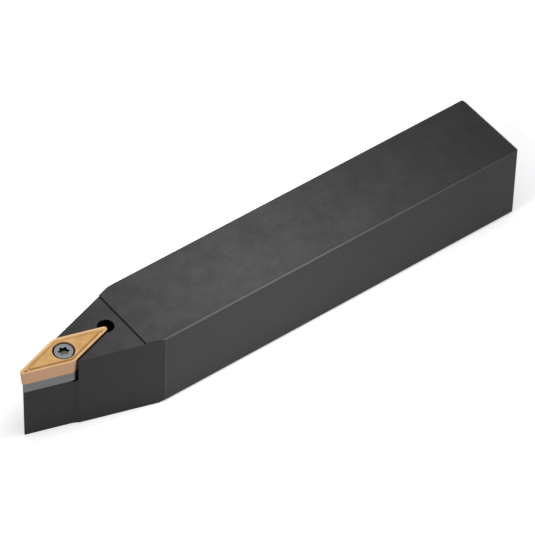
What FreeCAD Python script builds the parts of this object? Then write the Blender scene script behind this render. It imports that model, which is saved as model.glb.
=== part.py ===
import FreeCAD, Part, Sketcher

import math
import os

# Turning tool holder with a 35 degree rhombic indexable insert, in millimetres.
# +X runs from the cutting nose to the rear end of the shank, +Z is up, and the origin is the
# centre of the face that the tool rests on. The cutting edges lie at the height of the shank.

# Driving sizes. Each is a cell of the sheet, and every feature takes its sizes from there.
SIZES = {
    "overall_length": 160.0,
    "shank_width": 25.0,
    "shank_height": 25.0,
    "edge_chamfer": 0.6,
    "end_chamfer": 0.9,
    "flank_setback": 0.185,
    "step_setback": 5.2,
    "top_step": 0.5,
    "flank_recess": 0.42,
    "flank_cutter_radius": 7.5,
    "recess_lead": 0.3,
    "head_nose_radius": 0.25,
    "wall_gap": 0.4,
    "corner_hole_diameter": 4.7,
    "corner_hole_inset": 0.5,
    "corner_hole_offset": 0.9,
    "corner_hole_depth": 1.5,
    "undercut_radius": 0.9,
    "undercut_depth": 0.6,
    "insert_circle": 9.525,
    "insert_point_angle": 35.0,
    "insert_thickness": 4.76,
    "insert_relief": 5.0,
    "insert_nose_radius": 0.8,
    "insert_side_radius": 3.0,
    "insert_bore": 4.4,
    "sink_diameter": 6.26,
    "sink_angle": 60.0,
    "sink_lip_radius": 0.6,
    "edge_land": 0.1,
    "former_width": 0.7,
    "former_depth": 0.22,
    "former_nose_radius": 0.15,
    "plateau_foot": 0.15,
    "plateau_slope": 0.3,
    "plateau_drop": 0.03,
    "plateau_setback": 2.6,
    "bump_setback": 2.15,
    "bump_length": 0.9,
    "bump_width": 0.7,
    "shim_thickness": 3.18,
    "shim_inset": 0.46,
    "shim_nose_radius": 0.45,
    "shim_edge": 0.15,
    "bush_thread": 6.0,
    "bush_length": 10.0,
    "bush_head_diameter": 7.2,
    "bush_rim": 0.4,
    "bush_drop": 0.1,
    "bush_hexagon": 4.0,
    "bush_hexagon_depth": 2.4,
    "bush_hole_spare": 1.2,
    "drill_angle": 118.0,
    "clamp_thread": 3.5,
    "clamp_head_diameter": 5.3,
    "clamp_rim": 0.5,
    "clamp_edge": 0.15,
    "clamp_length": 11.0,
    "clamp_tip": 0.4,
    "lobe_outer": 3.27,
    "lobe_inner": 2.35,
    "lobe_radius": 0.26,
    "lobe_depth": 1.4,
    "lobe_turn": 36.0,
    "fit_clearance": 0.03,
    "seat_clearance": 0.02,
}

SHEET = "sizes"
FULL_TURN = 360
MARGIN = 5.0


class Size:
    """A length or a number that knows its value and its formula in terms of the sheet's cells."""

    def __init__(self, value, text):
        self.value = value
        self.text = text

    def __add__(self, other):
        other = size_of(other)
        return Size(self.value + other.value, f"({self.text} + {other.text})")

    def __sub__(self, other):
        other = size_of(other)
        return Size(self.value - other.value, f"({self.text} - {other.text})")

    def __mul__(self, other):
        other = size_of(other)
        return Size(self.value * other.value, f"({self.text} * {other.text})")

    def __truediv__(self, other):
        other = size_of(other)
        return Size(self.value / other.value, f"({self.text} / {other.text})")

    def __neg__(self):
        return Size(-self.value, f"(0 - {self.text})")


def size_of(thing):
    """A size from a size, a cell's name or a plain number."""
    if isinstance(thing, Size):
        return thing
    if isinstance(thing, str):
        return Size(SIZES[thing], f"{SHEET}.{thing}")
    return Size(float(thing), f"{float(thing):.6f}")


def sine(angle):
    """The sine of a size that holds degrees."""
    return Size(math.sin(math.radians(angle.value)), f"sin({angle.text})")


def cosine(angle):
    """The cosine of a size that holds degrees."""
    return Size(math.cos(math.radians(angle.value)), f"cos({angle.text})")


def tangent(angle):
    """The tangent of a size that holds degrees."""
    return Size(math.tan(math.radians(angle.value)), f"tan({angle.text})")


def root(square):
    """The square root of a size."""
    return Size(math.sqrt(square.value), f"sqrt({square.text})")


def bind(thing, prop, size):
    """Sets a property and ties it to the sheet."""
    size = size_of(size)
    if "." not in prop:
        setattr(thing, prop, size.value)
    thing.setExpression(prop, size.text)


doc = FreeCAD.newDocument("turning_tool_holder")
sheet = doc.addObject("Spreadsheet::Sheet", SHEET)
for row, (alias, number) in enumerate(SIZES.items(), start=1):
    sheet.set(f"A{row}", alias)
    sheet.set(f"B{row}", str(number))
    sheet.setAlias(f"B{row}", alias)
doc.recompute()

# Sizes that several pieces share. The two flanks of the head, the walls of the pocket and the sides
# of the insert and the shim are all parallel, at half the insert's point angle to the shank.
half_angle = size_of("insert_point_angle") / 2
sin_half = sine(half_angle)
cos_half = cosine(half_angle)
tan_half = tangent(half_angle)
half_length = size_of("overall_length") / 2
half_width = size_of("shank_width") / 2
insert_radius = size_of("insert_circle") / 2
nose_reach = (insert_radius - "insert_nose_radius") / sin_half + "insert_nose_radius"
insert_x = nose_reach - half_length
cutting_height = size_of("shank_height")
shim_top = cutting_height - "insert_thickness"
floor_height = shim_top - "shim_thickness"
wall_radius = insert_radius + "wall_gap"
flank_radius = insert_radius - "flank_setback"
front_radius = flank_radius - "flank_recess"
corner_x = insert_x + (half_width * cos_half - flank_radius) / sin_half
sink_half = size_of("sink_angle") / 2
sink_slope = tangent(sink_half)
sink_mouth = size_of("sink_diameter") / 2
plateau_top = cutting_height - "plateau_drop"


def origin_plane(body, role):
    """One of a body's own origin planes."""
    for feature in body.Origin.OriginFeatures:
        if feature.Role == role:
            return feature
    raise RuntimeError(f"{body.Label} has no {role}")


def new_body(name):
    """An empty body whose label is the piece's name."""
    body = doc.addObject("PartDesign::Body", name)
    body.Label = name
    return body


def new_sketch(body, name, role, offset=(0, 0, 0), turn=None):
    """A sketch on an origin plane, moved by an offset in the plane's own directions.

    turn, where given, is an angle about the sketch's own upright axis.
    """
    sketch = body.newObject("Sketcher::SketchObject", name)
    sketch.AttachmentSupport = [(origin_plane(body, role), "")]
    sketch.MapMode = "FlatFace"
    turned = FreeCAD.Rotation(FreeCAD.Vector(0, 1, 0), turn.value if turn else 0)
    start = FreeCAD.Vector(*[size_of(part).value for part in offset])
    sketch.AttachmentOffset = FreeCAD.Placement(start, turned)
    for axis, part in zip("xyz", offset):
        sketch.setExpression(f"AttachmentOffset.Base.{axis}", size_of(part).text)
    if turn:
        sketch.setExpression("AttachmentOffset.Rotation.Angle", turn.text)
    return sketch


def constrain(sketch, kind, *where, size=None):
    """One constraint, tied to the sheet where it holds a size."""
    if size is None:
        sketch.addConstraint(Sketcher.Constraint(kind, *where))
        return
    index = sketch.addConstraint(Sketcher.Constraint(kind, *where, size.value))
    sketch.setExpression(f"Constraints[{index}]", size.text)


def fix_point(sketch, edge, end, point):
    """Ties one end of an edge to its distances from the sketch's origin."""
    for kind, part in zip(("DistanceX", "DistanceY"), point):
        constrain(sketch, kind, -1, 1, edge, end, size=size_of(part))


def arc_between(first, last, radius, left):
    """The short arc between two points, with its centre to the left of the way or to the right."""
    start = FreeCAD.Vector(first[0].value, first[1].value, 0)
    stop = FreeCAD.Vector(last[0].value, last[1].value, 0)
    half_chord = (stop - start) / 2
    lift = math.sqrt(radius.value ** 2 - half_chord.Length ** 2)
    side = FreeCAD.Vector(-half_chord.y, half_chord.x, 0).normalize() * (lift if left else -lift)
    centre = start + half_chord + side
    outward = (start + half_chord - centre).normalize() * radius.value
    return Part.Arc(start, centre + outward, stop)


def draw_outline(sketch, points, arcs=None):
    """A closed outline through points. arcs maps the number of a side to (radius, centre on the left)."""
    arcs = arcs or {}
    points = [tuple(size_of(part) for part in point) for point in points]
    count = len(points)
    for index in range(count):
        first = points[index]
        last = points[(index + 1) % count]
        if index in arcs:
            radius, left = arcs[index]
            sketch.addGeometry(arc_between(first, last, size_of(radius), left))
        else:
            ends = [FreeCAD.Vector(x.value, y.value, 0) for x, y in (first, last)]
            sketch.addGeometry(Part.LineSegment(*ends))
    # an arc that runs clockwise along the outline is stored with its ends the other way round
    ends = [(2, 1) if index in arcs and not arcs[index][1] else (1, 2) for index in range(count)]
    for index in range(count):
        following = (index + 1) % count
        constrain(sketch, "Coincident", index, ends[index][1], following, ends[following][0])
    for index in range(count):
        fix_point(sketch, index, ends[index][0], points[index])
    for index, (radius, _left) in arcs.items():
        constrain(sketch, "Radius", index, size=size_of(radius))


def draw_circle(sketch, centre, radius):
    """A circle whose centre and radius are tied to the sheet."""
    centre = [size_of(part) for part in centre]
    radius = size_of(radius)
    middle = FreeCAD.Vector(centre[0].value, centre[1].value, 0)
    index = sketch.addGeometry(Part.Circle(middle, FreeCAD.Vector(0, 0, 1), radius.value))
    fix_point(sketch, index, 3, centre)
    constrain(sketch, "Radius", index, size=radius)


def add_feature(body, kind, name, profile, length=None, **settings):
    """A pad or a pocket of a sketch."""
    feature = body.newObject(f"PartDesign::{kind}", name)
    feature.Profile = (profile, [""])
    for key, setting in settings.items():
        setattr(feature, key, setting)
    if length is not None:
        bind(feature, "Length", length)
    return feature


def add_turning(body, kind, name, profile):
    """A revolution or a groove of a sketch, a full turn about the sketch's upright axis."""
    feature = body.newObject(f"PartDesign::{kind}", name)
    feature.Profile = (profile, [""])
    feature.ReferenceAxis = (profile, ["V_Axis"])
    feature.Angle = FULL_TURN
    return feature


def add_loft(body, kind, name, first, last):
    """A straight-sided loft between two sketches."""
    feature = body.newObject(f"PartDesign::{kind}", name)
    feature.Profile = (first, [""])
    feature.Sections = [(last, [""])]
    feature.Ruled = True
    return feature


def add_chamfer(body, name, base, edges, size):
    """A chamfer along the named edges of a feature."""
    feature = body.newObject("PartDesign::Chamfer", name)
    feature.Base = (base, edges)
    bind(feature, "Size", size)
    return feature


def edges_where(feature, test):
    """The names of a feature's straight edges whose two end points pass a test."""
    named = []
    for index, edge in enumerate(feature.Shape.Edges, start=1):
        ends = [vertex.Point for vertex in edge.Vertexes]
        if len(ends) == 2 and test(*ends):
            named.append(f"Edge{index}")
    return named


def rhombus(radius, nose, side):
    """Outline of a rhombic piece about its own centre.

    radius is that of the circle that touches its four sides, nose rounds the two sharp corners and
    side the two blunt ones.
    """
    nose_x = (radius - nose) / sin_half + nose * sin_half
    nose_y = nose * cos_half
    side_x = side * sin_half
    side_y = (radius - side) / cos_half + side * cos_half
    points = [
        (nose_x, -nose_y), (nose_x, nose_y), (side_x, side_y), (-side_x, side_y),
        (-nose_x, nose_y), (-nose_x, -nose_y), (-side_x, -side_y), (side_x, -side_y),
    ]
    arcs = {0: (nose, True), 2: (side, True), 4: (nose, True), 6: (side, True)}
    return points, arcs


def rhombus_sketch(body, name, height, radius, nose, side):
    """A rhombic outline at a height, about the insert's axis."""
    sketch = new_sketch(body, name, "XY_Plane", (insert_x, 0, height))
    points, arcs = rhombus(size_of(radius), size_of(nose), size_of(side))
    draw_outline(sketch, points, arcs)
    return sketch


def make_holder():
    """Shank and head, one piece: plan outline, chamfers, then the seat for the insert."""
    body = new_body("holder")
    nose = size_of("head_nose_radius")
    nose_centre = insert_x - (front_radius - nose) / sin_half
    wall_edge_x = insert_x + (wall_radius - flank_radius) / (sin_half * 2)
    wall_edge_y = (wall_radius + flank_radius) / (cos_half * 2)
    recess_x = wall_edge_x + cos_half * "recess_lead"
    recess_y = wall_edge_y + sin_half * "recess_lead"
    depth = size_of("flank_recess")
    cutter = size_of("flank_cutter_radius")
    run = root(cutter * depth * 2 - depth * depth)
    front_x = recess_x - run * cos_half + depth * sin_half
    front_y = recess_y - run * sin_half - depth * cos_half
    tip_x = nose_centre - nose * sin_half
    tip_y = nose * cos_half

    plan = new_sketch(body, "plan_outline", "XY_Plane")
    points = [
        (half_length, -half_width), (half_length, half_width), (corner_x, half_width),
        (recess_x, recess_y), (front_x, front_y), (tip_x, tip_y), (tip_x, -tip_y),
        (front_x, -front_y), (recess_x, -recess_y), (corner_x, -half_width),
    ]
    draw_outline(plan, points, {3: (cutter, False), 5: (nose, True), 7: (cutter, False)})
    bar = add_feature(body, "Pad", "bar", plan, "shank_height")
    doc.recompute()

    # the shank's four long edges, then the edges of its rear end
    behind = corner_x.value - 0.001
    long_edges = edges_where(bar, lambda a, b: min(a.x, b.x) > behind and abs(a.x - b.x) > 1)
    chamfered = add_chamfer(body, "long_edge_chamfer", bar, long_edges, "edge_chamfer")
    doc.recompute()
    rear = half_length.value - 0.001
    rear_edges = edges_where(chamfered, lambda a, b: min(a.x, b.x) > rear)
    add_chamfer(body, "rear_end_chamfer", chamfered, rear_edges, "end_chamfer")
    doc.recompute()

    # the head's top lies a little below the shank's, behind a straight milled step
    step = new_sketch(body, "step_outline", "XY_Plane", (0, 0, "shank_height"))
    step_x = corner_x - "step_setback"
    ahead = -half_length - MARGIN
    beside = half_width + MARGIN
    draw_outline(step, [(step_x, -beside), (step_x, beside), (ahead, beside), (ahead, -beside)])
    add_feature(body, "Pocket", "top_step", step, "top_step")

    # the seat, open to the front, with a wall along each rear side of the insert
    hole_radius = size_of("corner_hole_diameter") / 2
    apex_x = insert_x + wall_radius / sin_half
    hole_x = apex_x - "corner_hole_inset" - hole_radius
    seat_half = (apex_x - hole_x) * tan_half
    mouth_half = (apex_x + half_length) * tan_half
    seat = new_sketch(body, "seat_outline", "XY_Plane", (0, 0, "shank_height"))
    mouth_x = -half_length
    draw_outline(seat, [
        (hole_x, -seat_half), (hole_x, seat_half), (mouth_x, mouth_half), (mouth_x, -mouth_half),
    ])
    seat_depth = size_of("shank_height") - floor_height
    add_feature(body, "Pocket", "seat", seat, seat_depth)

    # the round relief for the insert's rear nose
    corner = new_sketch(body, "corner_hole_outline", "XY_Plane", (0, 0, "shank_height"))
    draw_circle(corner, (hole_x, "corner_hole_offset"), hole_radius)
    add_feature(body, "Pocket", "corner_hole", corner, seat_depth + "corner_hole_depth")

    # a round groove along the foot of each wall, so that the shim seats on the floor alone
    groove = size_of("undercut_radius")
    groove_height = floor_height + groove - "undercut_depth"
    for side, way in (("far", 1), ("near", -1)):
        start_x = hole_x - groove * sin_half
        start_y = (seat_half - groove * cos_half) * way
        turn = half_angle * -way
        foot = new_sketch(body, f"{side}_undercut_outline", "YZ_Plane", (start_y, groove_height, start_x), turn)
        draw_circle(foot, (0, 0), groove)
        add_feature(body, "Pocket", f"{side}_undercut", foot, mouth_half / sin_half)

    # the threaded hole for the shim's screw, at its thread diameter, ending in the drill's cone
    hole = new_sketch(body, "bush_hole_outline", "XZ_Plane", (insert_x, 0, 0))
    wall = size_of("bush_thread") / 2 + "fit_clearance"
    bottom = shim_top - "bush_drop" - "bush_length" - "bush_hole_spare"
    cone = wall / tangent(size_of("drill_angle") / 2)
    draw_outline(hole, [(0, bottom - cone), (wall, bottom), (wall, floor_height), (0, floor_height)])
    add_turning(body, "Groove", "bush_hole", hole)
    doc.recompute()
    return body


def make_shim():
    """The seat under the insert, with a countersunk hole for its tubular screw."""
    body = new_body("shim")
    radius = insert_radius - "shim_inset"
    side = size_of("insert_side_radius") - "shim_inset"
    edge = size_of("shim_edge")
    foot = rhombus_sketch(body, "shim_outline", floor_height, radius, "shim_nose_radius", side)
    add_feature(body, "Pad", "plate", foot, size_of("shim_thickness") - edge)
    lower = rhombus_sketch(body, "edge_outline", shim_top - edge, radius, "shim_nose_radius", side)
    nose = size_of("shim_nose_radius") - edge
    upper = rhombus_sketch(body, "top_outline", shim_top, radius - edge, nose, side - edge)
    add_loft(body, "AdditiveLoft", "top_edge", lower, upper)
    hole = new_sketch(body, "hole_outline", "XZ_Plane", (insert_x, 0, 0))
    thread = size_of("bush_thread") / 2 + "fit_clearance"
    head = size_of("bush_head_diameter") / 2 + "fit_clearance"
    rim = shim_top - "bush_drop" - "bush_rim"
    draw_outline(hole, [
        (0, floor_height), (thread, floor_height), (thread, rim - (head - thread)),
        (head, rim), (head, shim_top), (0, shim_top),
    ])
    add_turning(body, "Groove", "screw_hole", hole)
    doc.recompute()
    return body


def make_shim_screw():
    """The tubular screw: threads into the holder, and takes the clamping screw in its bore."""
    body = new_body("shim_screw")
    top = shim_top - "bush_drop"
    bottom = top - "bush_length"
    thread = size_of("bush_thread") / 2
    head = size_of("bush_head_diameter") / 2
    bore = size_of("clamp_thread") / 2 + "fit_clearance"
    rim = top - "bush_rim"
    break_edge = size_of("clamp_tip")
    profile = new_sketch(body, "bush_outline", "XZ_Plane", (insert_x, 0, 0))
    draw_outline(profile, [
        (bore, bottom), (thread - break_edge, bottom), (thread, bottom + break_edge),
        (thread, rim - (head - thread)), (head, rim), (head, top), (bore, top),
    ])
    add_turning(body, "Revolution", "bush", profile)
    hexagon = new_sketch(body, "hexagon_outline", "XY_Plane", (insert_x, 0, top))
    across = size_of("bush_hexagon") / 2
    corner = across / cosine(size_of(30))
    half = corner / 2
    draw_outline(hexagon, [
        (across, -half), (across, half), (0, corner), (-across, half), (-across, -half), (0, -corner),
    ])
    add_feature(body, "Pocket", "hexagon", hexagon, "bush_hexagon_depth")
    doc.recompute()
    return body


def make_insert():
    """The cutting insert: tapered rhombus, pressed chip former with a plateau, countersunk hole."""
    body = new_body("insert")
    nose = size_of("insert_nose_radius")
    side = size_of("insert_side_radius")
    shrink = size_of("insert_thickness") * tangent(size_of("insert_relief"))
    top = rhombus_sketch(body, "cutting_outline", cutting_height, insert_radius, nose, side)
    foot = rhombus_sketch(body, "foot_outline", shim_top, insert_radius - shrink, nose - shrink, side - shrink)
    add_loft(body, "AdditiveLoft", "blank", foot, top)

    # the chip former: a narrow land, a slope down behind it, and a plateau that rises to the edge's height
    land = size_of("edge_land")
    fall = land + "former_width"
    floor = cutting_height - "former_depth"
    mouth = rhombus_sketch(
        body, "land_outline", cutting_height, insert_radius - land, nose - land, side - land)
    bowl = rhombus_sketch(
        body, "former_outline", floor, insert_radius - fall, "former_nose_radius", side - fall)
    add_loft(body, "SubtractiveLoft", "chip_former", mouth, bowl)
    levels = []
    for name, height, inset in (
        ("plateau_foot_outline", floor, fall + "plateau_foot"),
        ("plateau_top_outline", plateau_top, fall + "plateau_foot" + "plateau_slope"),
    ):
        inner = insert_radius - inset
        cut_x = nose_reach - "plateau_setback" - (inset - fall)
        cut_y = (inner / sin_half - cut_x) * tan_half
        blunt_y = inner / cos_half
        sketch = new_sketch(body, name, "XY_Plane", (insert_x, 0, height))
        draw_outline(sketch, [
            (cut_x, -cut_y), (cut_x, cut_y), (0, blunt_y), (-cut_x, cut_y), (-cut_x, -cut_y), (0, -blunt_y),
        ])
        levels.append(sketch)
    add_loft(body, "AdditiveLoft", "plateau", *levels)

    # a small wedge ahead of the plateau at each nose curls narrow chips
    for end, way in (("rear", 1), ("front", -1)):
        back = (nose_reach - "bump_setback") * way
        tip = back + size_of("bump_length") * way
        half = size_of("bump_width") / 2
        wedge = new_sketch(body, f"{end}_bump_outline", "XY_Plane", (insert_x, 0, floor - land))
        draw_outline(wedge, [(back, -half * way), (tip, 0), (back, half * way)])
        add_feature(body, "Pad", f"{end}_bump", wedge, land + "former_depth" - size_of("plateau_drop") * 2)

    hole = new_sketch(body, "hole_outline", "XZ_Plane", (insert_x, 0, 0))
    bore = size_of("insert_bore") / 2
    sink_foot = plateau_top - (sink_mouth - bore) / sink_slope
    lip = size_of("sink_lip_radius")
    lip_reach = lip * tangent((size_of(90) - sink_half) / 2)
    lip_x = sink_mouth - lip_reach * sine(sink_half)
    lip_z = plateau_top - lip_reach * cosine(sink_half)
    mouth_x = sink_mouth + lip_reach
    draw_outline(hole, [
        (0, shim_top), (bore, shim_top), (bore, sink_foot), (lip_x, lip_z), (mouth_x, plateau_top),
        (mouth_x, cutting_height), (0, cutting_height),
    ], {3: (lip, False)})
    add_turning(body, "Groove", "screw_hole", hole)
    doc.recompute()
    return body


def make_insert_screw():
    """The clamping screw: countersunk head with a six-lobe socket."""
    body = new_body("insert_screw")
    thread = size_of("clamp_thread") / 2
    head = size_of("clamp_head_diameter") / 2
    tip = size_of("clamp_tip")
    # the head's cone lies in the insert's countersink, clear of it by the seat clearance
    cone_top = plateau_top - (sink_mouth - head - "seat_clearance") / sink_slope
    cone_foot = cone_top - (head - thread) / sink_slope
    top = cone_top + "clamp_rim"
    bottom = top - "clamp_length"
    break_edge = size_of("clamp_edge")
    profile = new_sketch(body, "screw_outline", "XZ_Plane", (insert_x, 0, 0))
    draw_outline(profile, [
        (0, bottom), (thread - tip, bottom), (thread, bottom + tip), (thread, cone_foot),
        (head, cone_top), (head, top - break_edge), (head - break_edge, top), (0, top),
    ])
    add_turning(body, "Revolution", "screw", profile)

    # six lobes out, six hollows in, each arc tangent to the next
    lobe = size_of("lobe_radius")
    lobe_centre = size_of("lobe_outer") / 2 - lobe
    inner = size_of("lobe_inner") / 2
    sixth = cosine(size_of(30))
    hollow = (lobe_centre * lobe_centre + inner * inner - lobe_centre * inner * sixth * 2 - lobe * lobe) / (
        (lobe + lobe_centre * sixth - inner) * 2)
    hollow_centre = inner + hollow
    share = lobe / (lobe + hollow)
    points = []
    for step in range(6):
        lobe_way = size_of("lobe_turn") + 60 * step
        for side in (-30, 30):
            hollow_way = lobe_way + side
            points.append(tuple(
                lobe_centre * part(lobe_way) * (size_of(1) - share) + hollow_centre * part(hollow_way) * share
                for part in (cosine, sine)
            ))
    arcs = {index: (lobe, True) if index % 2 == 0 else (hollow, False) for index in range(12)}
    socket = new_sketch(body, "socket_outline", "XY_Plane", (insert_x, 0, top))
    draw_outline(socket, points, arcs)
    add_feature(body, "Pocket", "socket", socket, "lobe_depth")
    doc.recompute()
    return body


bodies = [make_holder(), make_shim(), make_shim_screw(), make_insert(), make_insert_screw()]
doc.recompute()

for item in doc.Objects:
    if "Invalid" in item.State or "Error" in item.State:
        raise RuntimeError(f"{item.Label} failed: {item.State}")
for body in bodies:
    if body.Shape.isNull() or not body.Shape.isValid():
        raise RuntimeError(f"{body.Label} has no valid shape")

os.makedirs("parts", exist_ok=True)
for body in bodies:
    body.Shape.exportStep(f"parts/{body.Label}.step")
    box = body.Shape.BoundBox
    print(
        f"{body.Label}: {len(body.Shape.Solids)} solid, {body.Shape.Volume:.2f} mm3, "
        f"x {box.XMin:.2f} to {box.XMax:.2f}, y {box.YMin:.2f} to {box.YMax:.2f}, "
        f"z {box.ZMin:.2f} to {box.ZMax:.2f}"
    )
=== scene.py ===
# %% [markdown]
# # Turning tool holder
# A lathe tool in five pieces: a square shank of blackened steel, and in its head a gold-coated
# carbide insert that lies on a grey carbide shim. A small countersunk screw clamps the insert, and
# a tubular screw under it holds the shim.
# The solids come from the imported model. This script gives them their finishes, rounds the
# holder's edges, and gives the clamping screw the thread that the plain solid leaves out.

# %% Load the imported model
import math

import bmesh
import bpy
from mathutils import Matrix, Vector


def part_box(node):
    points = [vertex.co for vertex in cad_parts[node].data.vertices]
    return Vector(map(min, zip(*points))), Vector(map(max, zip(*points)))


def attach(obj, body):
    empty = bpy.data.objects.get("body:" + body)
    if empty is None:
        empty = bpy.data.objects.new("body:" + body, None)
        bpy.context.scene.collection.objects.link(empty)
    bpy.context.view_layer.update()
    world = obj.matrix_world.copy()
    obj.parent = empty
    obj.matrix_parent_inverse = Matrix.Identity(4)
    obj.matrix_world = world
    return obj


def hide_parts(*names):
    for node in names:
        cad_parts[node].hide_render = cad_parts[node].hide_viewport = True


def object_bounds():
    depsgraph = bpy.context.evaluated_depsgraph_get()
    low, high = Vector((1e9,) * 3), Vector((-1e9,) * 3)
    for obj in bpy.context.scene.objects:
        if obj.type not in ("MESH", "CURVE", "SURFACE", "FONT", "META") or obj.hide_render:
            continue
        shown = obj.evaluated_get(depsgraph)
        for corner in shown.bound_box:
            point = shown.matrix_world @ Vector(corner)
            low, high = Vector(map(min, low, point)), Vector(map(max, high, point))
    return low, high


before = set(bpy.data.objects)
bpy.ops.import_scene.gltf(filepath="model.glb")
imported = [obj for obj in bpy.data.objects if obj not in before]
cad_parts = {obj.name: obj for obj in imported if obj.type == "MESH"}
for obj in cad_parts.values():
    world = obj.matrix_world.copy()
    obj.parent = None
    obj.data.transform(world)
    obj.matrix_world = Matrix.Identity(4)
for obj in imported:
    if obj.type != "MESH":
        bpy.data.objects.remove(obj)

MM = 0.001
scene = bpy.context.scene
cad_box = [list(corner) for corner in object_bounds()]
print("nodes:", sorted(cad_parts))
print("box in mm:", [[round(part / MM, 2) for part in corner] for corner in cad_box])

# %% [markdown]
# ## Camera
# The picture was taken with a long lens, so that the shank's edges stay nearly parallel. The camera
# could be set by eye, but then every other comparison would be off by as much. So its place and its
# lens were worked out from the straight edges of the holder and from the insert's sides.
# It looks at a point near the middle of the shank, from so many degrees round and up, and is rolled
# a little about its own axis.

# %% Camera
CAMERA_AZIMUTH = -38.15
CAMERA_ELEVATION = 46.57
CAMERA_ROLL = 1.617
CAMERA_DISTANCE = 1207.73 * MM
CAMERA_TARGET = Vector((3.23, 1.69, 12.5)) * MM
CAMERA_REACH = 10  # metres
LENS = 296.46  # millimetres, over a sensor this wide
SENSOR = 36.0


def camera_axes(azimuth, elevation, roll):
    """The camera's right, up and backward directions. Azimuth 0 looks along +Y."""
    turn, rise, lean = (math.radians(angle) for angle in (azimuth, elevation, roll))
    flat = math.cos(rise)
    back = Vector((math.sin(turn) * flat, -math.cos(turn) * flat, math.sin(rise)))
    level = Vector((math.cos(turn), math.sin(turn), 0))
    upright = back.cross(level)
    right = level * math.cos(lean) + upright * math.sin(lean)
    return right, back.cross(right), back


right, up, back = camera_axes(CAMERA_AZIMUTH, CAMERA_ELEVATION, CAMERA_ROLL)
lens = bpy.data.cameras.new("camera")
lens.sensor_fit = "HORIZONTAL"
lens.sensor_width = SENSOR
lens.lens = LENS
lens.clip_end = CAMERA_REACH
camera = bpy.data.objects.new("camera", lens)
camera.matrix_world = Matrix.Translation(CAMERA_TARGET + back * CAMERA_DISTANCE) @ Matrix(
    (right, up, back)).transposed().to_4x4()
scene.collection.objects.link(camera)
scene.camera = camera
print("camera at", [round(part, 3) for part in camera.location])

# %% [markdown]
# ## Light
# Dark satin steel shows little of its own colour: it shows what it reflects, and a white studio is
# what a catalogue picture of a tool reflects. So the camera, and every reflection, sees the room
# white, while the lamps that shade the matt part of a surface stay weak. The other way, strong
# lamps in a dark room, would burn out the gold and leave the flanks black.
# One small soft box hangs close over the front of the shank, so that the top is lightest there and
# fades towards both ends. It is left out of reflections, where it would draw hot lines on the
# insert. A second one, farther off at the front right, lights the near side and its edges.
# The first cell has what every finish below needs as well: colours written as they look on a
# screen, and one way to add a node.

# %% Colours and nodes
def srgb(code):
    """A colour written as six hex digits, as the linear colour that shaders use."""
    def linear(part):
        value = int(part, 16) / 255
        return value / 12.92 if value <= 0.04045 else ((value + 0.055) / 1.055) ** 2.4

    return (*(linear(code[at:at + 2]) for at in (0, 2, 4)), 1.0)


def add_node(tree, kind, settings=None, inputs=None):
    """A node with its settings and inputs. An input is a value, or an output that is linked."""
    node = tree.nodes.new(kind)
    for name, value in (settings or {}).items():
        setattr(node, name, value)
    for name, value in (inputs or {}).items():
        if isinstance(value, bpy.types.NodeSocket):
            tree.links.new(value, node.inputs[name])
        else:
            node.inputs[name].default_value = value
    return node


def empty_tree(owner):
    """The node tree of a world or a material, switched on and cleared."""
    owner.use_nodes = True
    owner.node_tree.nodes.clear()
    return owner.node_tree


WHITE = srgb("FFFFFF")
print("the grey 808080 is", round(srgb("808080")[0], 3), "in linear light")

# %% Room
ROOM_GREY = srgb("B4B4B6")
ROOM_STRENGTH = 0.12
PAPER_STRENGTH = 1.0


def bright_rays(tree):
    """1 for rays that see the white studio: the camera's, and those off metal or through glass."""
    rays = add_node(tree, "ShaderNodeLightPath").outputs
    seen = rays["Is Camera Ray"]
    for kind in ("Is Glossy Ray", "Is Transmission Ray"):
        seen = add_node(tree, "ShaderNodeMath", {"operation": "MAXIMUM"}, {
            0: seen, 1: rays[kind]}).outputs[0]
    return seen


world = bpy.data.worlds.new("studio")
studio = empty_tree(world)
room = add_node(studio, "ShaderNodeBackground", inputs={
    "Color": ROOM_GREY, "Strength": ROOM_STRENGTH})
paper = add_node(studio, "ShaderNodeBackground", inputs={
    "Color": WHITE, "Strength": PAPER_STRENGTH})
either = add_node(studio, "ShaderNodeMixShader", inputs={
    0: bright_rays(studio), 1: room.outputs[0], 2: paper.outputs[0]})
add_node(studio, "ShaderNodeOutputWorld", inputs={"Surface": either.outputs[0]})
scene.world = world
scene.view_settings.view_transform = "Standard"
print("room:", len(studio.nodes), "nodes")

# %% Lamps
# place, target and size in millimetres, watts, and whether the lamp shows in reflections
LAMPS = {
    "key_box": ((-10, -10, 95), (-10, 0, 20), (60, 40), 0.136, False),
    "edge_box": ((100, -220, 190), (-20, 0, 20), (150, 100), 0.094, True),
}


def soft_box(name, centre, target, size, watts, shown):
    """A rectangular area lamp that faces a target. The camera never sees it."""
    data = bpy.data.lights.new(name, "AREA")
    data.shape = "RECTANGLE"
    data.size, data.size_y = size
    data.energy = watts
    lamp = bpy.data.objects.new(name, data)
    turn = (target - centre).to_track_quat("-Z", "Y").to_matrix().to_4x4()
    lamp.matrix_world = Matrix.Translation(centre) @ turn
    lamp.visible_camera = False
    lamp.visible_glossy = shown
    scene.collection.objects.link(lamp)


for name, (centre, target, size, watts, shown) in LAMPS.items():
    soft_box(name, Vector(centre) * MM, Vector(target) * MM, Vector(size) * MM, watts, shown)

# %% [markdown]
# ## Floor
# The tool lies on a plain pale sheet. The sheet has light of its own for the camera and for
# reflections, so that it is white to both, apart from the soft shadow beside the tool. That light
# fades within 20 mm of whatever stands on the sheet, as white paper does in a contact shadow. More
# light from the lamps would make the sheet white too, but it would also change the tool.

# %% Sheet
FLOOR_SIDE = 3.0  # metres
FLOOR_GAP = 0.1 * MM


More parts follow.
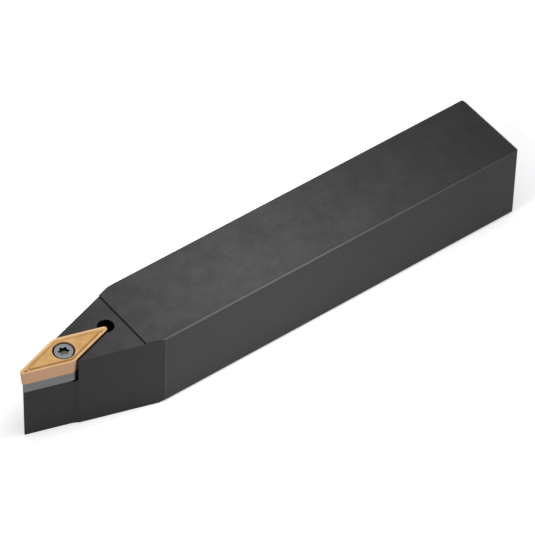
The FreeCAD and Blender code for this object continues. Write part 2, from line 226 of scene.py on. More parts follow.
def make_floor():
    """A square sheet at the height of the tool's base."""
    half = FLOOR_SIDE / 2
    mesh = bpy.data.meshes.new("floor")
    corners = [(x * half, y * half, 0) for x, y in ((-1, -1), (1, -1), (1, 1), (-1, 1))]
    mesh.from_pydata(corners, [], [(0, 1, 2, 3)])
    floor = bpy.data.objects.new("floor", mesh)
    floor.location.z = cad_box[0][2] - FLOOR_GAP
    scene.collection.objects.link(floor)
    return floor


floor = make_floor()
print("floor at", round(floor.location.z / MM, 2), "mm")

# %% Paper
SHEET_GREY = "C8C8C8"
SHEET_GLOW = 0.9
CONTACT_GLOW = 0.45
CONTACT_REACH = 20 * MM
CONTACT_SAMPLES = 8


def paper_sheet():
    """Matt white paper: diffuse, with some light of its own for the camera and reflections."""
    material = bpy.data.materials.new("paper sheet")
    tree = empty_tree(material)
    matt = add_node(tree, "ShaderNodeBsdfDiffuse", inputs={"Color": srgb(SHEET_GREY)})
    near = add_node(tree, "ShaderNodeAmbientOcclusion", {"samples": CONTACT_SAMPLES}, {
        "Distance": CONTACT_REACH})
    strength = add_node(tree, "ShaderNodeMapRange", inputs={
        "Value": near.outputs["AO"], "To Min": CONTACT_GLOW, "To Max": SHEET_GLOW})
    glow = add_node(tree, "ShaderNodeEmission", inputs={
        "Color": WHITE, "Strength": strength.outputs[0]})
    lit = add_node(tree, "ShaderNodeAddShader", inputs={0: matt.outputs[0], 1: glow.outputs[0]})
    choice = add_node(tree, "ShaderNodeMixShader", inputs={
        0: bright_rays(tree), 1: matt.outputs[0], 2: lit.outputs[0]})
    add_node(tree, "ShaderNodeOutputMaterial", inputs={"Surface": choice.outputs[0]})
    return material


floor.data.materials.append(paper_sheet())
print("floor material:", floor.data.materials[0].name)

# %% [markdown]
# ## Patterns
# The finishes are all put together from the same few parts: noise for what a bath, a press or grit
# leaves, rings for what a cutter leaves, and colours that lie over one another in coats. A picture
# wrapped round the part would do too, but the part would need unwrapping, and the picture's own
# pixels would show close up. These patterns go by each point's place on the tool, so they keep
# their real size everywhere.

# %% Coats over one another
def coated(tree, colour, coats):
    """A colour under coats. Each is a measure, where it starts, where it covers, and a colour."""
    for measure, start, full, coat in coats:
        cover = add_node(tree, "ShaderNodeMapRange", inputs={
            "Value": measure, "From Min": start, "From Max": full})
        colour = add_node(tree, "ShaderNodeMix", {"data_type": "RGBA"}, {
            0: cover.outputs[0], 6: colour, 7: coat}).outputs[2]
    return colour


def weighted(tree, parts):
    """The sum of several outputs, each times its weight."""
    total = 0.0
    for output, weight in parts:
        total = add_node(tree, "ShaderNodeMath", {"operation": "MULTIPLY_ADD"}, {
            0: output, 1: weight, 2: total}).outputs[0]
    return total


def finish_skin(material, relief, inputs):
    """Ends a material: its surface, over a relief given as a height, a strength and a depth."""
    tree = material.node_tree
    height, strength, depth = relief
    bump = add_node(tree, "ShaderNodeBump", inputs={
        "Height": height, "Strength": strength, "Distance": depth})
    skin = add_node(tree, "ShaderNodeBsdfPrincipled", inputs={**inputs, "Normal": bump.outputs[0]})
    add_node(tree, "ShaderNodeOutputMaterial", inputs={"Surface": skin.outputs[0]})
    print(material.name + ":", len(tree.nodes), "nodes")
    return material


# %% Rings about an axis
WAVE_STEP = 20  # at scale 1, a wave texture runs through so many radians in a metre
RING_DETAIL = 1.0


def rings(tree, point, axis, pitch, waver):
    """Waves in rings about an upright axis, a pitch apart, and how much they waver."""
    centred = add_node(tree, "ShaderNodeMapping", inputs={
        "Vector": point, "Location": (-axis[0], -axis[1], 0)})
    wave = add_node(tree, "ShaderNodeTexWave", {"wave_type": "RINGS", "rings_direction": "Z"}, {
        "Vector": centred.outputs[0], "Scale": 2 * math.pi / (WAVE_STEP * pitch),
        "Distortion": waver, "Detail": RING_DETAIL})
    return wave.outputs["Fac"]


def from_axis(tree, point, axis):
    """How far a point lies from an upright axis."""
    offset = add_node(tree, "ShaderNodeVectorMath", {"operation": "SUBTRACT"}, {
        0: point, 1: (axis[0], axis[1], 0)})
    flat = add_node(tree, "ShaderNodeVectorMath", {"operation": "MULTIPLY"}, {
        0: offset.outputs[0], 1: (1, 1, 0)})
    return add_node(tree, "ShaderNodeVectorMath", {"operation": "LENGTH"}, {
        0: flat.outputs[0]}).outputs["Value"]


print("rings 1 mm apart need a wave scale of", round(2 * math.pi / (WAVE_STEP * MM), 1))

# %% [markdown]
# ## Blackened steel
# The shank is alloy steel, face-milled, ground and then blackened in a hot salt bath. The black
# layer is about a thousandth of a millimetre thick, so the tool marks show through it. It is a
# porous oxide with a weak, broad gloss, so its reflection is set below that of a smooth surface.
# One even grey would look like plastic. Three things break it up: clouds of two sizes where the
# bath took more or less, a fine speckle, and faint crossed arcs from the milling cutter. The photo
# is too coarse to count such arcs, so their pitch of 0.9 mm is a choice: the finest that this
# picture can carry. The grit of the oxide is finer than the picture shows, so it is drawn 0.25 mm
# wide, and only as relief.
# On the long edges a paler colour is painted on as a highlight, and in the corner hole a darker one
# as painted shade.

# %% Tones and marks of the steel
STEEL_LOW, STEEL_HIGH = "292929", "363636"
# painted shade for the corner hole, and a painted highlight for the long edges
STEEL_HOLE_SHADE, STEEL_EDGE_HIGHLIGHT = "0A0A0A", "505050"
# size, detail and weight of the clouds and of the speckle
STEEL_CLOUDS = ((14 * MM, 2.0, 0.3), (4 * MM, 3.0, 0.36), (0.55 * MM, 3.0, 0.3))
TONE_LOW, TONE_HIGH = 0.38, 0.62
STEEL_ROUGH = (0.40, 0.52)
STEEL_REFLECTION = 0.2  # of a smooth surface it is 0.5
ARC_PITCH = 0.9 * MM
ARC_CENTRES = ((130 * MM, 22 * MM), (-130 * MM, -16 * MM))
ARC_WAVER = 2.0
ARC_TONE, ARC_RELIEF = 0.02, 0.05
GRIT_SIZE = 0.25 * MM
GRIT_DETAIL = 1.0
GRIT_RELIEF = 0.9
STEEL_RELIEF, STEEL_DEPTH = 0.3, 0.004 * MM
HOLE_AXIS = (-51.7 * MM, 0.9 * MM)
HOLE_RADIUS = 2.35 * MM
# the painted shade in the corner hole starts 3 % outside its radius and covers fully from 1 %
# outside
HOLE_SHADE_FADE = (1.03 * HOLE_RADIUS, 1.01 * HOLE_RADIUS)
# the painted highlight covers what lies farther than this from the middle of the shank
HIGHLIGHT_FROM, HIGHLIGHT_TO = 12.0 * MM, 12.3 * MM
print("steel marks in mm:", [round(size / MM, 2) for size, _, _ in STEEL_CLOUDS] + [
    round(ARC_PITCH / MM, 2), round(GRIT_SIZE / MM, 2)])


# %% Blackened steel
def blackened_steel(name, edge):
    """Hot-blackened steel with painted shade in the corner hole. With edge, a chamfer's half
    towards the side is a paler painted highlight.
    """
    material = bpy.data.materials.new(name)
    tree = empty_tree(material)
    point = add_node(tree, "ShaderNodeTexCoord").outputs["Object"]
    arcs = [rings(tree, point, centre, ARC_PITCH, ARC_WAVER) for centre in ARC_CENTRES]
    marks = []
    for size, detail, weight in STEEL_CLOUDS:
        cloud = add_node(tree, "ShaderNodeTexNoise", inputs={
            "Vector": point, "Scale": 1 / size, "Detail": detail})
        marks.append((cloud.outputs["Fac"], weight))
    tone = weighted(tree, marks + [(arc, ARC_TONE) for arc in arcs])
    coats = [(tone, TONE_LOW, TONE_HIGH, srgb(STEEL_HIGH))]
    # a painted highlight, paler towards the sides
    if edge:
        across = add_node(tree, "ShaderNodeSeparateXYZ", inputs={0: point}).outputs["Y"]
        side = add_node(tree, "ShaderNodeMath", {"operation": "ABSOLUTE"}, {0: across})
        coats.append((side.outputs[0], HIGHLIGHT_FROM, HIGHLIGHT_TO, srgb(STEEL_EDGE_HIGHLIGHT)))
    # painted shade in the corner hole
    coats.append((from_axis(tree, point, HOLE_AXIS), *HOLE_SHADE_FADE, srgb(STEEL_HOLE_SHADE)))
    gloss = add_node(tree, "ShaderNodeMapRange", inputs={
        "Value": tone, "From Min": TONE_LOW, "From Max": TONE_HIGH,
        "To Min": STEEL_ROUGH[0], "To Max": STEEL_ROUGH[1]})
    grit = add_node(tree, "ShaderNodeTexNoise", inputs={
        "Vector": point, "Scale": 1 / GRIT_SIZE, "Detail": GRIT_DETAIL})
    height = weighted(tree, [(grit.outputs["Fac"], GRIT_RELIEF)] + [
        (arc, ARC_RELIEF) for arc in arcs])
    return finish_skin(material, (height, STEEL_RELIEF, STEEL_DEPTH), {
        "Base Color": coated(tree, srgb(STEEL_LOW), coats), "Roughness": gloss.outputs[0],
        "Specular IOR Level": STEEL_REFLECTION})


# the second finish carries a painted highlight, paler near the sides
holder_skins = (blackened_steel("blackened steel", False), blackened_steel("painted edge highlight", True))

# %% [markdown]
# ## Holder
# The imported holder has its true form, but its edges are perfectly sharp, and no real edge is. A
# Bevel modifier with a weight on each edge could round them. Two plain bevels on a copy of the mesh
# do the same with the two widths in sight: 0.25 mm on the two upright edges where the flanks start,
# which carry a fine pale line of painted highlight, and 0.06 mm on the rest, which were only
# deburred.
# Faces that look sideways and up or down alike, such as the shank's long chamfers, keep their shape
# and get a second finish with a painted highlight, which is paler near the sides.

# %% Merged copy of the holder
JOIN_REACH = 0.001 * MM
FLAT_ANGLE = math.radians(0.5)
CHAMFER_TILT = 0.6


def merged_mesh(node):
    """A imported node's mesh with its points joined and its flat faces whole."""
    mesh = bmesh.new()
    mesh.from_mesh(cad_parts[node].data)
    bmesh.ops.remove_doubles(mesh, verts=mesh.verts, dist=JOIN_REACH)
    bmesh.ops.dissolve_limit(mesh, angle_limit=FLAT_ANGLE, verts=mesh.verts, edges=mesh.edges)
    return mesh


mesh = merged_mesh("holder")
chamfers = [face for face in mesh.faces
            if min(abs(face.normal.y), abs(face.normal.z)) > CHAMFER_TILT]
# the chamfers take the finish with the painted highlight
for face in chamfers:
    face.material_index = 1
print("merged faces:", len(mesh.faces), "of which sloping:", len(chamfers))

# %% Rounded edges
JUNCTION_ROUND, JUNCTION_STEPS = 0.25 * MM, 3
JUNCTION_HEIGHT = 15 * MM
JUNCTION_REACH = 0.1 * MM
EDGE_ROUND, EDGE_STEPS = 0.06 * MM, 2
ROUND = 0.5  # the profile of a bevel that is an arc
HALF_WIDTH = cad_box[1][1]
SHARP = math.radians(25)


def stands_upright(edge):
    """Whether an edge is one of the two where a flank meets a side of the shank."""
    low, high = (vert.co for vert in edge.verts)
    tall = abs((high - low).z) > JUNCTION_HEIGHT
    return tall and abs(abs(low.y) - HALF_WIDTH) < JUNCTION_REACH and low.x < 0


def sharp_edges(mesh):
    """The edges at which the surface turns clearly."""
    return [edge for edge in mesh.edges
            if len(edge.link_faces) == 2 and edge.calc_face_angle() > SHARP]


# the rounds on the two upright edges take the painted highlight too
bmesh.ops.bevel(mesh, geom=[edge for edge in mesh.edges if stands_upright(edge)],
                offset=JUNCTION_ROUND, segments=JUNCTION_STEPS, profile=ROUND, affect="EDGES",
                clamp_overlap=True, material=1)
bmesh.ops.bevel(mesh, geom=sharp_edges(mesh), offset=EDGE_ROUND, segments=EDGE_STEPS,
                profile=ROUND, affect="EDGES", clamp_overlap=True, material=-1)
print("rounded faces:", len(mesh.faces))

# %% Holder
def finished_piece(name, mesh, materials):
    """An object made from a mesh under construction, smooth where its surface is."""
    bmesh.ops.recalc_face_normals(mesh, faces=mesh.faces)
    data = bpy.data.meshes.new(name)
    mesh.to_mesh(data)
    mesh.free()
    data.shade_smooth()
    data.set_sharp_from_angle(angle=SHARP)
    for material in materials:
        data.materials.append(material)
    piece = bpy.data.objects.new(name, data)
    scene.collection.objects.link(piece)
    even = piece.modifiers.new("even", "WEIGHTED_NORMAL")
    even.keep_sharp = True
    settled = piece.evaluated_get(bpy.context.evaluated_depsgraph_get())
    piece.data = bpy.data.meshes.new_from_object(settled)
    piece.modifiers.clear()
    return piece


holder = finished_piece("toolholder", mesh, holder_skins)
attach(holder, "holder")
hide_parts("holder")
print("holder faces:", len(holder.data.polygons))

# %% [markdown]
# ## Gold coating
# The insert is cemented carbide with a coating of titanium nitride a few thousandths of a
# millimetre thick. The coating is a real metal to the eye: its colour is in its reflection. The
# pressed top is a strong gold, and the ground sides are coloured paler and pinker. In the screw's
# hole the colour is painted shade, brown at the mouth and near black deeper down. So the colour
# goes by the way a face looks and by how far it is from the hole's axis. Behind the edge the slope
# that falls has a pale painted highlight at its top, and the steep slope that rises from it to the
# plateau has a browner painted shade. Each of them could be a material of its own, but the imported
# mesh has no faces to choose by name, and one rule for all of it can't miss any.
# The real grain of the pressed surface is too fine to show. It is drawn 0.12 mm wide, so that it
# shows in a close view.

# %% Tones of the gold
GOLD_LOW, GOLD_HIGH = "CB9F64", "D8AC74"
# a painted highlight for the rim, a painted shade for the groove, and the sides' colour
GOLD_RIM_HIGHLIGHT, GOLD_GROOVE_SHADE, GOLD_SIDE = "F2D0A8", "9A7044", "B08C70"
# painted shade in the screw's hole: at its mouth and deeper down
GOLD_MOUTH_SHADE, GOLD_HOLE_SHADE = "7A5634", "15110E"
GOLD_CLOUD, CLOUD_RANGE = 2.5 * MM, (0.35, 0.65)
GOLD_GRAIN, GRAIN_RANGE = 0.12 * MM, (0.3, 0.7)
PRESSED_ROUGH = (0.21, 0.27)
GROUND_ROUGH = 0.55
GOLD_RELIEF, GOLD_DEPTH = 0.3, 0.004 * MM
# how far a face looks up, from 1 for level to 0 for upright, where a coat starts and covers
BANK_FACING = (0.985, 0.96)
GROOVE_SHADE_FACING = (0.93, 0.87)
SIDE_FACING = (0.5, 0.35)
SINK_RADIUS = 3.13 * MM
# where the hole's painted shade lies, and how far below the top the painted highlight and the
# hole's painted shade reach
SINK_SHADE_FADE = (0.99 * SINK_RADIUS, 0.94 * SINK_RADIUS)
RIM_HIGHLIGHT_FADE = 0.16 * MM
BORE_SHADE_FADE = 0.8 * MM
print("slopes in degrees:", [round(math.degrees(math.acos(facing)), 1) for facing in (
    *BANK_FACING, *GROOVE_SHADE_FACING, *SIDE_FACING)])


# %% Gold coating
def gold_coating(axis, top):
    """Titanium nitride on sintered carbide, with painted shade in a hole round an axis and a
    painted highlight below a top height.
    """
    material = bpy.data.materials.new("titanium nitride coating")
    tree = empty_tree(material)
    point = add_node(tree, "ShaderNodeTexCoord").outputs["Object"]
    normal = add_node(tree, "ShaderNodeNewGeometry").outputs["True Normal"]
    height, facing = (add_node(tree, "ShaderNodeSeparateXYZ", inputs={0: vector}).outputs["Z"]
                      for vector in (point, normal))
    cloud, grain = (add_node(tree, "ShaderNodeTexNoise", inputs={
        "Vector": point, "Scale": 1 / size}).outputs["Fac"] for size in (GOLD_CLOUD, GOLD_GRAIN))
    pressed = coated(tree, srgb(GOLD_LOW), [(cloud, *CLOUD_RANGE, srgb(GOLD_HIGH))])
    # a painted highlight along the top of the falling slope
    bank_highlight = coated(tree, pressed, [(height, top - RIM_HIGHLIGHT_FADE, top, srgb(GOLD_RIM_HIGHLIGHT))])
    # painted shade in the hole, darker deeper down
    bore_shade = coated(tree, srgb(GOLD_HOLE_SHADE), [(height, top - BORE_SHADE_FADE, top, srgb(GOLD_MOUTH_SHADE))])
    # over the pressed gold: the slope's painted highlight, the steep slope's painted shade, the
    # sides, the hole's painted shade
    colour = coated(tree, pressed, [
        (facing, *BANK_FACING, bank_highlight),
        (facing, *GROOVE_SHADE_FACING, srgb(GOLD_GROOVE_SHADE)),
        (facing, *SIDE_FACING, srgb(GOLD_SIDE)),
        (from_axis(tree, point, axis), *SINK_SHADE_FADE, bore_shade)])
    satin = add_node(tree, "ShaderNodeMapRange", inputs={
        "Value": grain, "From Min": GRAIN_RANGE[0], "From Max": GRAIN_RANGE[1],
        "To Min": PRESSED_ROUGH[0], "To Max": PRESSED_ROUGH[1]})
    gloss = add_node(tree, "ShaderNodeMapRange", inputs={
        "Value": facing, "From Min": SIDE_FACING[0], "From Max": SIDE_FACING[1],
        "To Min": satin.outputs[0], "To Max": GROUND_ROUGH})
    return finish_skin(material, (grain, GOLD_RELIEF, GOLD_DEPTH), {
        "Base Color": colour, "Roughness": gloss.outputs[0], "Metallic": 1.0})


screw_low, screw_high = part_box("insert_screw")
screw_axis = (screw_low + screw_high) / 2
insert_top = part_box("insert")[1].z
insert_gold = gold_coating(screw_axis, insert_top)
print("screw axis at", round(screw_axis.x / MM, 3), "mm, insert's top at",
      round(insert_top / MM, 2), "mm")


# %% Insert
def dress(node, material):
    """Gives a CAD node its finish."""
    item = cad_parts[node]
    item.data.materials.clear()
    item.data.materials.append(material)


dress("insert", insert_gold)
print("insert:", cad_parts["insert"].data.materials[0].name)

# %% [markdown]
# ## Ground carbide
# The shim is bare cemented carbide, ground on its faces and sides. It is a neutral grey metal with
# fine grinding lines. A wave texture would space them too evenly, so noise is drawn out along them,
# forty times as long as it is high. Real lines are too fine to show, so they are drawn 0.08 mm
# apart, which shows in a close view.

# %% Ground carbide
CARBIDE_LOW, CARBIDE_HIGH = "5F6163", "6C6E70"
CARBIDE_ROUGH = 0.45
CARBIDE_RELIEF, CARBIDE_DEPTH = 0.3, 0.003 * MM
GRIND_RANGE = (0.3, 0.7)
GRIND_PITCH = 0.08 * MM
GRIND_LENGTH = 40 * GRIND_PITCH


def ground_carbide():
    """Bare ground cemented carbide."""
    material = bpy.data.materials.new("ground carbide")
    tree = empty_tree(material)
    point = add_node(tree, "ShaderNodeTexCoord").outputs["Object"]
    drawn_out = add_node(tree, "ShaderNodeMapping", inputs={
        "Vector": point, "Scale": (1 / GRIND_LENGTH, 1 / GRIND_LENGTH, 1 / GRIND_PITCH)})
    lines = add_node(tree, "ShaderNodeTexNoise", inputs={
        "Vector": drawn_out.outputs[0], "Scale": 1.0}).outputs["Fac"]
    return finish_skin(material, (lines, CARBIDE_RELIEF, CARBIDE_DEPTH), {
        "Base Color": coated(tree, srgb(CARBIDE_LOW), [(lines, *GRIND_RANGE, srgb(CARBIDE_HIGH))]),
        "Roughness": CARBIDE_ROUGH, "Metallic": 1.0})


dress("shim", ground_carbide())

# %% [markdown]
# ## Turned screw steel
# Both screws are turned from hardened steel. The clamping screw is left bright, and its head shows
# fine rings from the turning tool, round its own axis. The tool moves on evenly, so a wave texture
# fits better here than noise. Real rings are too fine to show, so they are drawn 0.12 mm apart,
# which shows in a close view.
# The screw's socket is coloured near black as painted shade, and the middle of its floor is paler,
# with a lighter painted shade. The tubular screw under the insert is dark too.

# %% Turned screw steel
SCREW_LOW, SCREW_HIGH = "7E8085", "9C9EA4"
# painted shade: near black on the socket's walls, a lighter grey in the middle of its floor
SOCKET_SHADE_LOW, SOCKET_SHADE_HIGH = "0A0A0A", "101010"
SOCKET_FLOOR_SHADE_LOW, SOCKET_FLOOR_SHADE_HIGH = "74786E", "888C80"
BUSH_LOW, BUSH_HIGH = "3C3D3F", "4C4D50"
SCREW_ROUGH, SOCKET_ROUGH, FLOOR_ROUGH, BUSH_ROUGH = 0.28, 0.5, 0.4, 0.4
RING_PITCH = 0.12 * MM
RING_WAVER = 1.5
RING_RELIEF, RING_DEPTH = 0.25, 0.004 * MM


def turned_steel(name, low, high, roughness):
    """Turned steel with rings about the screws' common axis."""
    material = bpy.data.materials.new(name)
    tree = empty_tree(material)
    point = add_node(tree, "ShaderNodeTexCoord").outputs["Object"]
    marks = rings(tree, point, screw_axis, RING_PITCH, RING_WAVER)
    return finish_skin(material, (marks, RING_RELIEF, RING_DEPTH), {
        "Base Color": coated(tree, srgb(low), [(marks, 0.0, 1.0, srgb(high))]),
        "Roughness": roughness, "Metallic": 1.0})


bright_steel = turned_steel("bright turned steel", SCREW_LOW, SCREW_HIGH, SCREW_ROUGH)
# the socket's two materials carry painted shade
socket_shade_steel = turned_steel("socket steel in painted shade", SOCKET_SHADE_LOW, SOCKET_SHADE_HIGH, SOCKET_ROUGH)
socket_floor_shade_steel = turned_steel("socket floor in lighter painted shade", SOCKET_FLOOR_SHADE_LOW, SOCKET_FLOOR_SHADE_HIGH, FLOOR_ROUGH)
dress("shim_screw", turned_steel("dark turned steel", BUSH_LOW, BUSH_HIGH, BUSH_ROUGH))

# %% [markdown]
# ## Clamping screw
# An M3.5 screw with a countersunk head and a six-lobe socket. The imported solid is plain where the
# thread is, so this piece takes its place, at the same size.
# It could be cut from solids with booleans, which leave ragged faces round the socket. A grid of
# rings round the axis is cleaner: each ring is a height and a radius, and in the socket the radius
# swings in and out with the angle. The lobes are arcs, and so are the hollows between them, each
# tangent to its neighbours.

# %% Socket outline
LOBE_OUTER = 1.635 * MM
LOBE_INNER = 1.175 * MM
LOBE_ARC = 0.26 * MM
LOBE_TURN = 36  # degrees from +X to a lobe
LOBE_STEP = 30  # degrees from the middle of a lobe to the middle of the hollow beside it


def lobe_radius(angle):
    """The socket's outline: how far it is from the axis at an angle in degrees."""
    step = math.radians(LOBE_STEP)
    lobe = LOBE_OUTER - LOBE_ARC
    spread = lobe * math.cos(step) - LOBE_INNER
    # the hollow's arc is as large as it has to be to touch the lobe's
    hollow_arc = (lobe ** 2 + LOBE_INNER ** 2 - 2 * lobe * LOBE_INNER * math.cos(step)
                  - LOBE_ARC ** 2) / (2 * (LOBE_ARC + spread))
    hollow = LOBE_INNER + hollow_arc
    touch = math.acos((lobe - hollow * math.cos(step)) / (LOBE_ARC + hollow_arc))
    meet = math.atan2(LOBE_ARC * math.sin(touch), lobe - LOBE_ARC * math.cos(touch))
    off = math.radians(abs((angle - LOBE_TURN + LOBE_STEP) % (2 * LOBE_STEP) - LOBE_STEP))
    if off <= meet:
        return lobe * math.cos(off) + math.sqrt(LOBE_ARC ** 2 - (lobe * math.sin(off)) ** 2)
    off = step - off
    return hollow * math.cos(off) - math.sqrt(hollow_arc ** 2 - (hollow * math.sin(off)) ** 2)


print("socket from", round(lobe_radius(LOBE_TURN + LOBE_STEP) / MM, 3), "to",
      round(lobe_radius(LOBE_TURN) / MM, 3), "mm")

# %% Profile of the screw
HEAD_RADIUS = (screw_high.x - screw_low.x) / 2
HEAD_EDGE = 0.15 * MM
HEAD_RIM = 0.5 * MM
SINK_HALF = math.radians(30)
SOCKET_DEPTH = 1.05 * MM
SOCKET_FLOOR = 1.14 * MM
SOCKET_DIP = 0.25 * MM
MOUTH = 0.07 * MM
THREAD_RADIUS = 1.75 * MM
THREAD_PITCH = 0.6 * MM
THREAD_DEPTH = 0.35 * MM
CORE_RADIUS = THREAD_RADIUS - THREAD_DEPTH
NECK = 0.3 * MM
TIP_LENGTH, TIP_CHAMFER = 0.4 * MM, 0.3 * MM
PINHOLE = 0.02 * MM  # the rings close on a tiny face and not on a point
CONE_FOOT = screw_high.z - HEAD_RIM - (HEAD_RADIUS - THREAD_RADIUS) / math.tan(SINK_HALF)
CORE_TOP = CONE_FOOT - NECK - THREAD_DEPTH


def screw_profile(low, high):
    """Rings from the socket's floor over the head and down to the tip: height, radius, lobes."""
    socket = [
        (high - SOCKET_DEPTH - SOCKET_DIP, PINHOLE, 0), (high - SOCKET_DEPTH, SOCKET_FLOOR, 0),
        (high - SOCKET_DEPTH, 0, 1), (high - MOUTH, 0, 1), (high, MOUTH, 1),
        (high, 0.5 * (HEAD_RADIUS + LOBE_OUTER), 0)]
    edge = []
    for turn in (math.radians(angle) for angle in (0, 30, 60, 90)):
        edge.append((high - HEAD_EDGE * (1 - math.cos(turn)),
                     HEAD_RADIUS - HEAD_EDGE * (1 - math.sin(turn)), 0))
    stem = [
        (high - HEAD_RIM, HEAD_RADIUS, 0), (CONE_FOOT, THREAD_RADIUS, 0),
        (CONE_FOOT - NECK, THREAD_RADIUS, 0), (CORE_TOP, CORE_RADIUS, 0),
        (low + TIP_LENGTH, CORE_RADIUS, 0), (low, CORE_RADIUS - TIP_CHAMFER, 0),
        (low, PINHOLE, 0)]
    return socket + edge + stem


profile = screw_profile(screw_low.z, screw_high.z)
print("rings:", len(profile), "over", round((screw_high.z - screw_low.z) / MM, 2), "mm")

# %% Body made of rings
RING_POINTS = 144
SCREW_SHARP = math.radians(28)


def ring_body(name, outline, axis):
    """A closed body of rings. Each is a height, a radius and how much the lobes add."""
    mesh = bmesh.new()
    rows = []
    for z, radius, lobed in outline:
        row = []
        for index in range(RING_POINTS):
            angle = 360 * index / RING_POINTS
            reach = radius + lobed * lobe_radius(angle)
            turn = math.radians(angle)
            row.append(mesh.verts.new((
                axis.x + reach * math.cos(turn), axis.y + reach * math.sin(turn), z)))
        rows.append(row)
    for upper, lower in zip(rows, rows[1:]):
        for index in range(RING_POINTS):
            after = (index + 1) % RING_POINTS
            mesh.faces.new((upper[index], upper[after], lower[after], lower[index]))
    mesh.faces.new(rows[0])
    mesh.faces.new(reversed(rows[-1]))
    bmesh.ops.recalc_face_normals(mesh, faces=mesh.faces)
    data = bpy.data.meshes.new(name)
    mesh.to_mesh(data)
    mesh.free()
    data.shade_smooth()
    data.set_sharp_from_angle(angle=SCREW_SHARP)
    return bpy.data.objects.new(name, data)


screw_body = ring_body("clamp_screw", profile, screw_axis)
scene.collection.objects.link(screw_body)
print("clamping screw faces:", len(screw_body.data.polygons))

# %% Clamping screw
# the socket's faces have their middles between these two heights
SOCKET_FOOT = screw_high.z - 2 * SOCKET_DEPTH
SOCKET_TOP = screw_high.z - 0.6 * MOUTH
for material in (bright_steel, socket_shade_steel, socket_floor_shade_steel):
    screw_body.data.materials.append(material)
# socket faces get the painted shade, and those near the axis the lighter painted shade of the floor
for face in screw_body.data.polygons:
    reach = math.hypot(face.center.x - screw_axis.x, face.center.y - screw_axis.y)
    if reach < LOBE_OUTER + MOUTH and SOCKET_FOOT < face.center.z < SOCKET_TOP:
        face.material_index = 1 if reach > SOCKET_FLOOR else 2
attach(screw_body, "insert_screw")
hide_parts("insert_screw")
print("socket faces:", sum(face.material_index > 0 for face in screw_body.data.polygons))

# %% [markdown]
# ## Thread
# A metric thread of 0.6 mm pitch: a ridge with 60 degree flanks and a narrow flat crest, wound
# round the core. A Screw modifier could wind it too, but with the same section from end to end.
# Here a spiral carries a trapezoid, as a geometry node tree, so the pitch, the depth and the number
# of turns stay numbers that can be changed. The ridge grows from nothing over its first half turn
# and dies out over its last, as a cut thread runs out.

# %% Thread node tree
TURN_POINTS = 48
RUN_OUT = 0.5  # turns over which the ridge grows or dies out
RIDGE_TURN = math.radians(-90)
THREAD_INPUTS = {
    "Core radius": "Float", "Height": "Float", "Turns": "Float", "Base": "Float",
    "Crest": "Float", "Depth": "Float", "Material": "Material"}


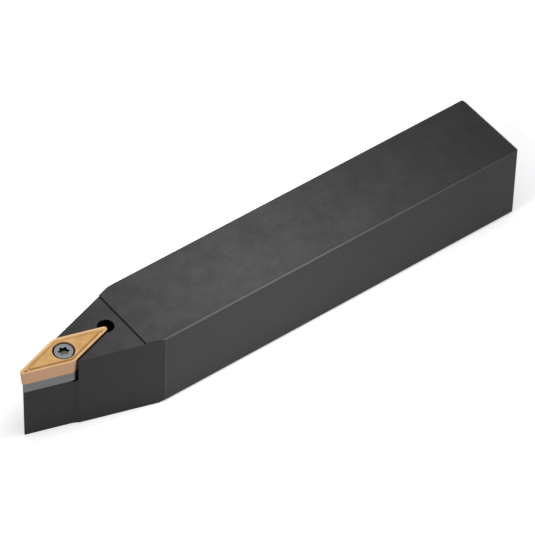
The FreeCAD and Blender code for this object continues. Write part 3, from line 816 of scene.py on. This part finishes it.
def thread_tree():
    """A node tree that winds a trapezoid ridge up a core."""
    tree = bpy.data.node_groups.new("screw thread", "GeometryNodeTree")
    for name, kind in THREAD_INPUTS.items():
        tree.interface.new_socket(name, in_out="INPUT", socket_type="NodeSocket" + kind)
    tree.interface.new_socket("Geometry", in_out="OUTPUT", socket_type="NodeSocketGeometry")
    given = add_node(tree, "NodeGroupInput").outputs
    path = add_node(tree, "GeometryNodeCurveSpiral", inputs={
        "Resolution": TURN_POINTS, "Rotations": given["Turns"], "Height": given["Height"],
        "Start Radius": given["Core radius"], "End Radius": given["Core radius"]})
    upright = add_node(tree, "GeometryNodeSetCurveNormal", {"mode": "Z_UP"}, {
        "Curve": path.outputs[0]})
    along = add_node(tree, "GeometryNodeSplineParameter").outputs["Factor"]
    end = add_node(tree, "ShaderNodeMath", {"operation": "SUBTRACT"}, {0: 1.0, 1: along})
    near = add_node(tree, "ShaderNodeMath", {"operation": "MINIMUM"}, {0: along, 1: end.outputs[0]})
    turns = add_node(tree, "ShaderNodeMath", {"operation": "MULTIPLY"}, {
        0: near.outputs[0], 1: given["Turns"]})
    grown = add_node(tree, "ShaderNodeMath", {"operation": "MULTIPLY", "use_clamp": True}, {
        0: turns.outputs[0], 1: 1 / RUN_OUT})
    ridge = add_node(tree, "GeometryNodeCurvePrimitiveQuadrilateral", {"mode": "TRAPEZOID"}, {
        "Height": given["Depth"], "Bottom Width": given["Base"], "Top Width": given["Crest"],
        "Offset": 0.0})
    turned = add_node(tree, "GeometryNodeTransform", inputs={
        "Geometry": ridge.outputs[0], "Rotation": (0, 0, RIDGE_TURN)})
    swept = add_node(tree, "GeometryNodeCurveToMesh", inputs={
        "Curve": upright.outputs[0], "Profile Curve": turned.outputs[0],
        "Scale": grown.outputs[0], "Fill Caps": True})
    solid = add_node(tree, "GeometryNodeRealizeInstances", inputs={0: swept.outputs[0]})
    painted = add_node(tree, "GeometryNodeSetMaterial", inputs={
        "Geometry": solid.outputs[0], "Material": given["Material"]})
    add_node(tree, "NodeGroupOutput", inputs={"Geometry": painted.outputs[0]})
    return tree


winding = thread_tree()
print("thread tree:", len(winding.nodes), "nodes")

# %% Thread
THREAD_GAP = 0.5 * MM
THREAD_BOTTOM = screw_low.z + THREAD_GAP
THREAD_HEIGHT = CORE_TOP - THREAD_BOTTOM
CREST = THREAD_PITCH / 8
FLANK = math.radians(30)


def from_nodes(name, tree, values):
    """A plain mesh object of what a node tree makes from named values."""
    host = bpy.data.objects.new(name + "_host", bpy.data.meshes.new(name + "_host"))
    scene.collection.objects.link(host)
    modifier = host.modifiers.new("nodes", "NODES")
    modifier.node_group = tree
    for item in tree.interface.items_tree:
        if item.in_out == "INPUT":
            modifier[item.identifier] = values[item.name]
    made = bpy.data.meshes.new_from_object(
        host.evaluated_get(bpy.context.evaluated_depsgraph_get()))
    made.name = name
    bpy.data.objects.remove(host)
    piece = bpy.data.objects.new(name, made)
    scene.collection.objects.link(piece)
    return piece


thread = from_nodes("clamp_thread", winding, {
    "Core radius": THREAD_RADIUS - THREAD_DEPTH / 2, "Height": THREAD_HEIGHT,
    "Turns": THREAD_HEIGHT / THREAD_PITCH, "Base": CREST + 2 * THREAD_DEPTH * math.tan(FLANK),
    "Crest": CREST, "Depth": THREAD_DEPTH, "Material": bright_steel})
thread.data.transform(Matrix.Translation((screw_axis.x, screw_axis.y, THREAD_BOTTOM)))
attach(thread, "insert_screw")
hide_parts("insert_screw")
points = [vert.co for vert in thread.data.vertices]
reach = [math.hypot(point.x - screw_axis.x, point.y - screw_axis.y) / MM for point in points]
heights = [point.z / MM for point in points]
print("thread faces:", len(thread.data.polygons))
print("thread radius from", round(min(reach), 3), "to", round(max(reach), 3), "mm, height from",
      round(min(heights), 2), "to", round(max(heights), 2), "mm")
